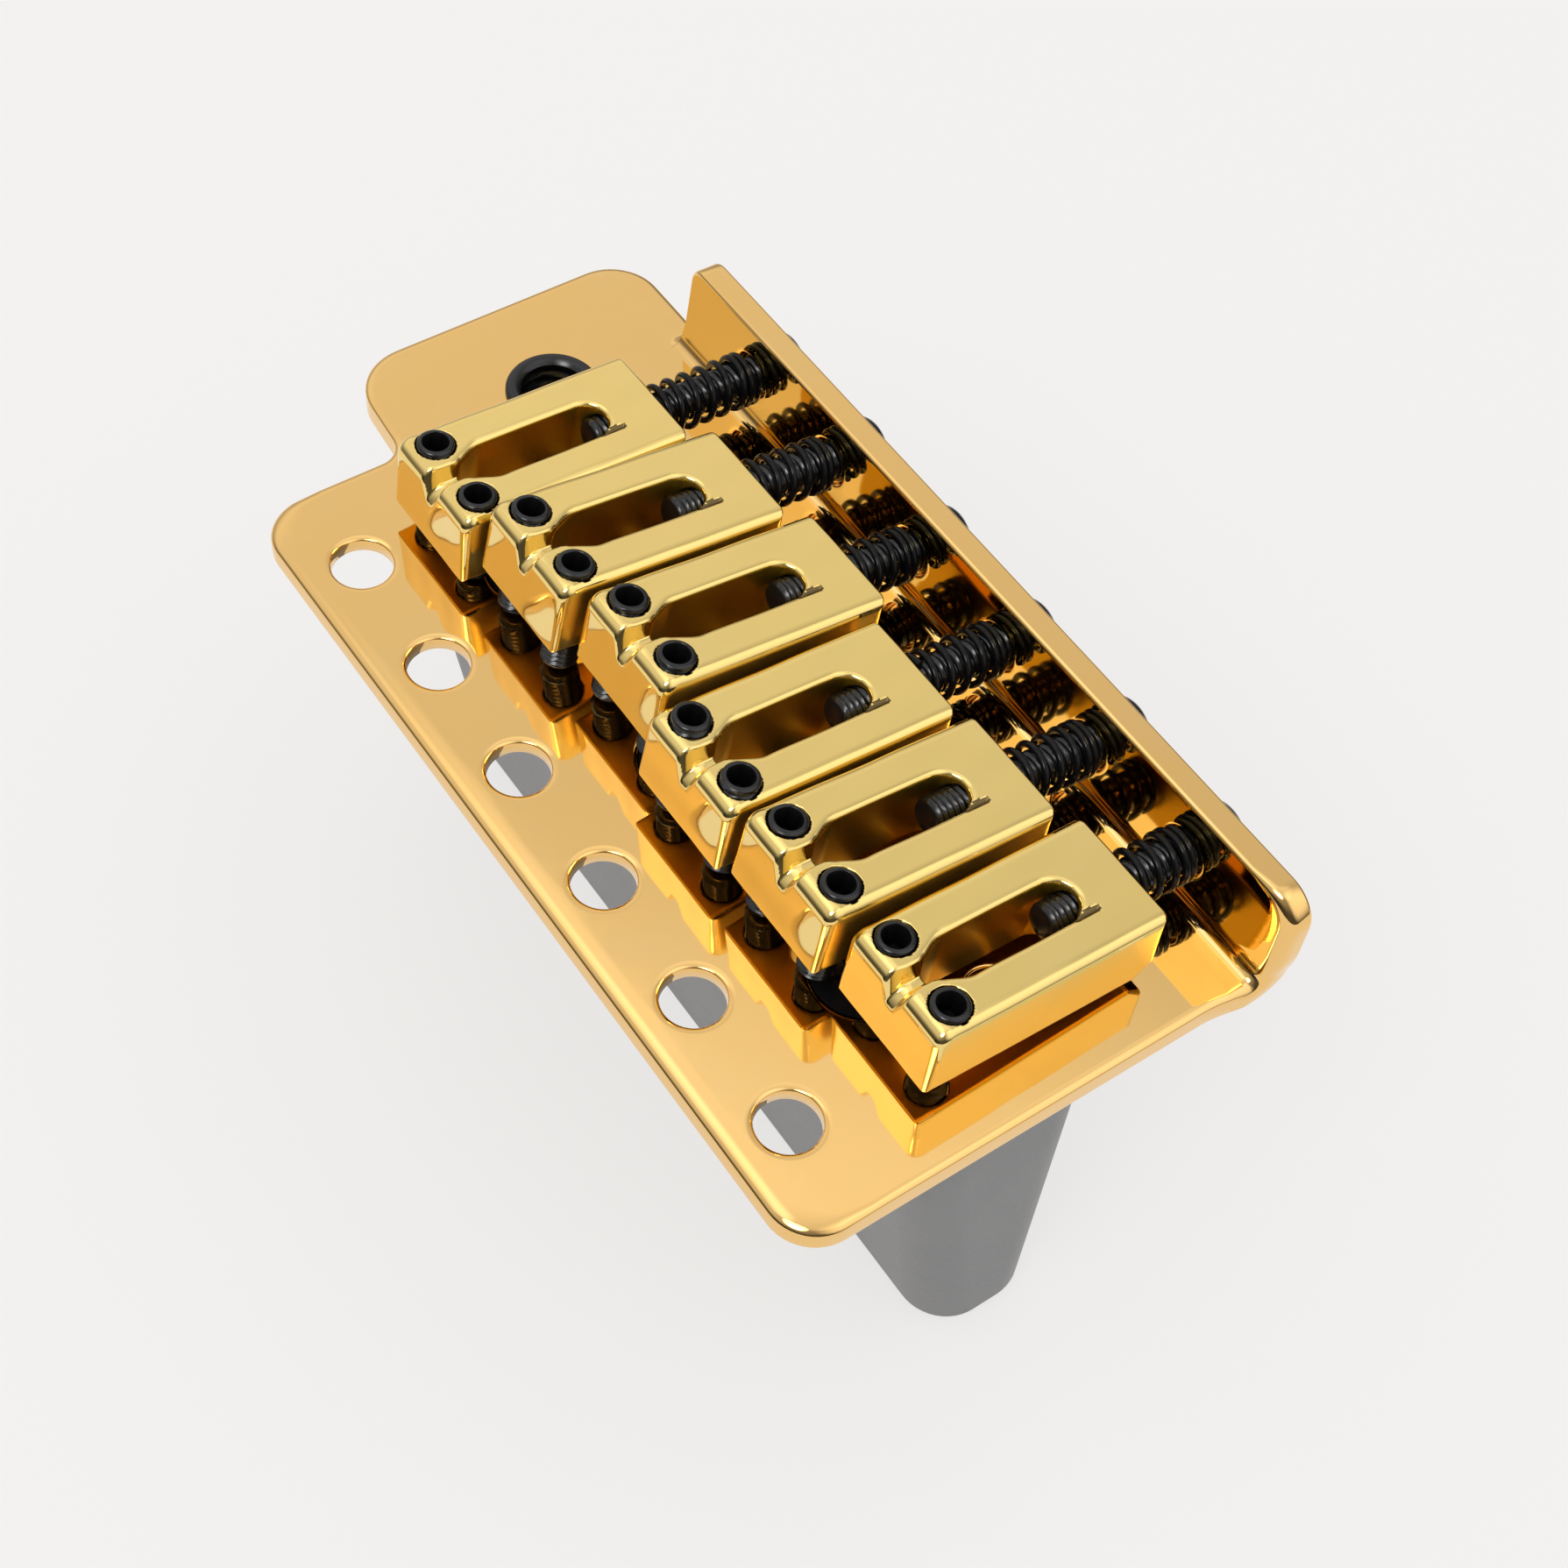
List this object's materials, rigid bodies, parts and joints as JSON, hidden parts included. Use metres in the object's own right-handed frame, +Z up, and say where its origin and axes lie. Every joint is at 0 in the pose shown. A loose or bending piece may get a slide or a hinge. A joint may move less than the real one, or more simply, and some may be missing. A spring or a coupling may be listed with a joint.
{
  "type": "guitar tremolo bridge",
  "caption": "Guitar tremolo bridge: bent plate with mounting holes, arm wing and rear lip, tapered block, and cast saddles adjusted by screws and springs.",
  "frame": {"origin": "middle of the row of six mounting holes, on the plate's top face", "axes": "+X along the row of mounting holes to the bass side, +Y from the mounting holes to the rear lip, +Z up out of the plate's top face"},
  "size_m": [0.0837, 0.0427, 0.0485],
  "materials": {
    "plate_gold": "polished",
    "saddle_gold": "polished",
    "block_grey": "satin",
    "black_oxide": "satin",
    "spring_black": "gloss"
  },
  "bodies": {
    "plate": {"base_plate": "plate_gold", "tremolo_block": "block_grey", "arm_bush": "black_oxide", "plate_screws": "black_oxide"},
    "string_1_swing": {"intonation_spring_1": "spring_black"},
    "intonation_screw_1": {"intonation_screw_1": "black_oxide"},
    "saddle_1": {"saddle_1": "saddle_gold"},
    "height_screw_1a": {"height_screw_1a": "black_oxide"},
    "height_screw_1b": {"height_screw_1b": "black_oxide"},
    "string_2_swing": {"intonation_spring_2": "spring_black"},
    "intonation_screw_2": {"intonation_screw_2": "black_oxide"},
    "saddle_2": {"saddle_2": "saddle_gold"},
    "height_screw_2a": {"height_screw_2a": "black_oxide"},
    "height_screw_2b": {"height_screw_2b": "black_oxide"},
    "string_3_swing": {"intonation_spring_3": "spring_black"},
    "intonation_screw_3": {"intonation_screw_3": "black_oxide"},
    "saddle_3": {"saddle_3": "saddle_gold"},
    "height_screw_3a": {"height_screw_3a": "black_oxide"},
    "height_screw_3b": {"height_screw_3b": "black_oxide"},
    "string_4_swing": {"intonation_spring_4": "spring_black"},
    "intonation_screw_4": {"intonation_screw_4": "black_oxide"},
    "saddle_4": {"saddle_4": "saddle_gold"},
    "height_screw_4a": {"height_screw_4a": "black_oxide"},
    "height_screw_4b": {"height_screw_4b": "black_oxide"},
    "string_5_swing": {"intonation_spring_5": "spring_black"},
    "intonation_screw_5": {"intonation_screw_5": "black_oxide"},
    "saddle_5": {"saddle_5": "saddle_gold"},
    "height_screw_5a": {"height_screw_5a": "black_oxide"},
    "height_screw_5b": {"height_screw_5b": "black_oxide"},
    "string_6_swing": {"intonation_spring_6": "spring_black"},
    "intonation_screw_6": {"intonation_screw_6": "black_oxide"},
    "saddle_6": {"saddle_6": "saddle_gold"},
    "height_screw_6a": {"height_screw_6a": "black_oxide"},
    "height_screw_6b": {"height_screw_6b": "black_oxide"}
  },
  "joints": [
    {"name": "saddle_1_height", "type": "hinge", "parent": "plate", "child": "string_1_swing", "pos_m": [-0.026, 0.0346, 0.0044], "axis": [-1, 0, 0], "range_deg": [-1.5, 3]},
    {"name": "intonation_screw_1_turn", "type": "hinge", "parent": "string_1_swing", "child": "intonation_screw_1", "pos_m": [-0.026, 0.0346, 0.0044], "axis": [0, 0.9985, -0.0541], "range_deg": [-1080, 2520]},
    {"name": "saddle_1_travel", "type": "slide", "parent": "string_1_swing", "child": "saddle_1", "axis": [0, -0.9985, 0.0541], "range_m": [-0.0015, 0.0035], "deforming": ["intonation_spring_1"]},
    {"name": "height_screw_1a_advance", "type": "slide", "parent": "saddle_1", "child": "height_screw_1a", "axis": [0, -0.0541, -0.9985], "range_m": [-0.001, 0.002]},
    {"name": "height_screw_1b_advance", "type": "slide", "parent": "saddle_1", "child": "height_screw_1b", "axis": [0, -0.0541, -0.9985], "range_m": [-0.001, 0.002]},
    {"name": "saddle_2_height", "type": "hinge", "parent": "plate", "child": "string_2_swing", "pos_m": [-0.0154, 0.0346, 0.0044], "axis": [-1, 0, 0], "range_deg": [-1.5, 3]},
    {"name": "intonation_screw_2_turn", "type": "hinge", "parent": "string_2_swing", "child": "intonation_screw_2", "pos_m": [-0.0154, 0.0346, 0.0044], "axis": [0, 0.9914, -0.1305], "range_deg": [-1080, 2520]},
    {"name": "saddle_2_travel", "type": "slide", "parent": "string_2_swing", "child": "saddle_2", "axis": [0, -0.9914, 0.1305], "range_m": [-0.0015, 0.0035], "deforming": ["intonation_spring_2"]},
    {"name": "height_screw_2a_advance", "type": "slide", "parent": "saddle_2", "child": "height_screw_2a", "axis": [0, -0.1305, -0.9914], "range_m": [-0.001, 0.002]},
    {"name": "height_screw_2b_advance", "type": "slide", "parent": "saddle_2", "child": "height_screw_2b", "axis": [0, -0.1305, -0.9914], "range_m": [-0.001, 0.002]},
    {"name": "saddle_3_height", "type": "hinge", "parent": "plate", "child": "string_3_swing", "pos_m": [-0.0048, 0.0346, 0.0044], "axis": [-1, 0, 0], "range_deg": [-1.5, 3]},
    {"name": "intonation_screw_3_turn", "type": "hinge", "parent": "string_3_swing", "child": "intonation_screw_3", "pos_m": [-0.0048, 0.0346, 0.0044], "axis": [0, 0.9907, -0.1357], "range_deg": [-1080, 2520]},
    {"name": "saddle_3_travel", "type": "slide", "parent": "string_3_swing", "child": "saddle_3", "axis": [0, -0.9907, 0.1357], "range_m": [-0.0015, 0.0035], "deforming": ["intonation_spring_3"]},
    {"name": "height_screw_3a_advance", "type": "slide", "parent": "saddle_3", "child": "height_screw_3a", "axis": [0, -0.1357, -0.9907], "range_m": [-0.001, 0.002]},
    {"name": "height_screw_3b_advance", "type": "slide", "parent": "saddle_3", "child": "height_screw_3b", "axis": [0, -0.1357, -0.9907], "range_m": [-0.001, 0.002]},
    {"name": "saddle_4_height", "type": "hinge", "parent": "plate", "child": "string_4_swing", "pos_m": [0.0058, 0.0346, 0.0044], "axis": [-1, 0, 0], "range_deg": [-1.5, 3]},
    {"name": "intonation_screw_4_turn", "type": "hinge", "parent": "string_4_swing", "child": "intonation_screw_4", "pos_m": [0.0058, 0.0346, 0.0044], "axis": [0, 0.9954, -0.0958], "range_deg": [-1080, 2520]},
    {"name": "saddle_4_travel", "type": "slide", "parent": "string_4_swing", "child": "saddle_4", "axis": [0, -0.9954, 0.0958], "range_m": [-0.0015, 0.0035], "deforming": ["intonation_spring_4"]},
    {"name": "height_screw_4a_advance", "type": "slide", "parent": "saddle_4", "child": "height_screw_4a", "axis": [0, -0.0958, -0.9954], "range_m": [-0.001, 0.002]},
    {"name": "height_screw_4b_advance", "type": "slide", "parent": "saddle_4", "child": "height_screw_4b", "axis": [0, -0.0958, -0.9954], "range_m": [-0.001, 0.002]},
    {"name": "saddle_5_height", "type": "hinge", "parent": "plate", "child": "string_5_swing", "pos_m": [0.0164, 0.0346, 0.0044], "axis": [-1, 0, 0], "range_deg": [-1.5, 3]},
    {"name": "intonation_screw_5_turn", "type": "hinge", "parent": "string_5_swing", "child": "intonation_screw_5", "pos_m": [0.0164, 0.0346, 0.0044], "axis": [0, 0.9932, -0.1167], "range_deg": [-1080, 2520]},
    {"name": "saddle_5_travel", "type": "slide", "parent": "string_5_swing", "child": "saddle_5", "axis": [0, -0.9932, 0.1167], "range_m": [-0.0015, 0.0035], "deforming": ["intonation_spring_5"]},
    {"name": "height_screw_5a_advance", "type": "slide", "parent": "saddle_5", "child": "height_screw_5a", "axis": [0, -0.1167, -0.9932], "range_m": [-0.001, 0.002]},
    {"name": "height_screw_5b_advance", "type": "slide", "parent": "saddle_5", "child": "height_screw_5b", "axis": [0, -0.1167, -0.9932], "range_m": [-0.001, 0.002]},
    {"name": "saddle_6_height", "type": "hinge", "parent": "plate", "child": "string_6_swing", "pos_m": [0.027, 0.0346, 0.0044], "axis": [-1, 0, 0], "range_deg": [-1.5, 3]},
    {"name": "intonation_screw_6_turn", "type": "hinge", "parent": "string_6_swing", "child": "intonation_screw_6", "pos_m": [0.027, 0.0346, 0.0044], "axis": [0, 0.9978, -0.0663], "range_deg": [-1080, 2520]},
    {"name": "saddle_6_travel", "type": "slide", "parent": "string_6_swing", "child": "saddle_6", "axis": [0, -0.9978, 0.0663], "range_m": [-0.0015, 0.0035], "deforming": ["intonation_spring_6"]},
    {"name": "height_screw_6a_advance", "type": "slide", "parent": "saddle_6", "child": "height_screw_6a", "axis": [0, -0.0663, -0.9978], "range_m": [-0.001, 0.002]},
    {"name": "height_screw_6b_advance", "type": "slide", "parent": "saddle_6", "child": "height_screw_6b", "axis": [0, -0.0663, -0.9978], "range_m": [-0.001, 0.002]}
  ],
  "couplings": [
    {"joint": "intonation_screw_1_turn", "follows": "saddle_1_travel", "rad_per_m": 12566},
    {"joint": "height_screw_1a_advance", "follows": "saddle_1_height", "m_per_rad": 0.027903},
    {"joint": "height_screw_1b_advance", "follows": "saddle_1_height", "m_per_rad": 0.027903},
    {"joint": "intonation_screw_2_turn", "follows": "saddle_2_travel", "rad_per_m": 12566},
    {"joint": "height_screw_2a_advance", "follows": "saddle_2_height", "m_per_rad": 0.0273},
    {"joint": "height_screw_2b_advance", "follows": "saddle_2_height", "m_per_rad": 0.0273},
    {"joint": "intonation_screw_3_turn", "follows": "saddle_3_travel", "rad_per_m": 12566},
    {"joint": "height_screw_3a_advance", "follows": "saddle_3_height", "m_per_rad": 0.025832},
    {"joint": "height_screw_3b_advance", "follows": "saddle_3_height", "m_per_rad": 0.025832},
    {"joint": "intonation_screw_4_turn", "follows": "saddle_4_travel", "rad_per_m": 12566},
    {"joint": "height_screw_4a_advance", "follows": "saddle_4_height", "m_per_rad": 0.027041},
    {"joint": "height_screw_4b_advance", "follows": "saddle_4_height", "m_per_rad": 0.027041},
    {"joint": "intonation_screw_5_turn", "follows": "saddle_5_travel", "rad_per_m": 12566},
    {"joint": "height_screw_5a_advance", "follows": "saddle_5_height", "m_per_rad": 0.026641},
    {"joint": "height_screw_5b_advance", "follows": "saddle_5_height", "m_per_rad": 0.026641},
    {"joint": "intonation_screw_6_turn", "follows": "saddle_6_travel", "rad_per_m": 12566},
    {"joint": "height_screw_6a_advance", "follows": "saddle_6_height", "m_per_rad": 0.02468},
    {"joint": "height_screw_6b_advance", "follows": "saddle_6_height", "m_per_rad": 0.02468}
  ]
}
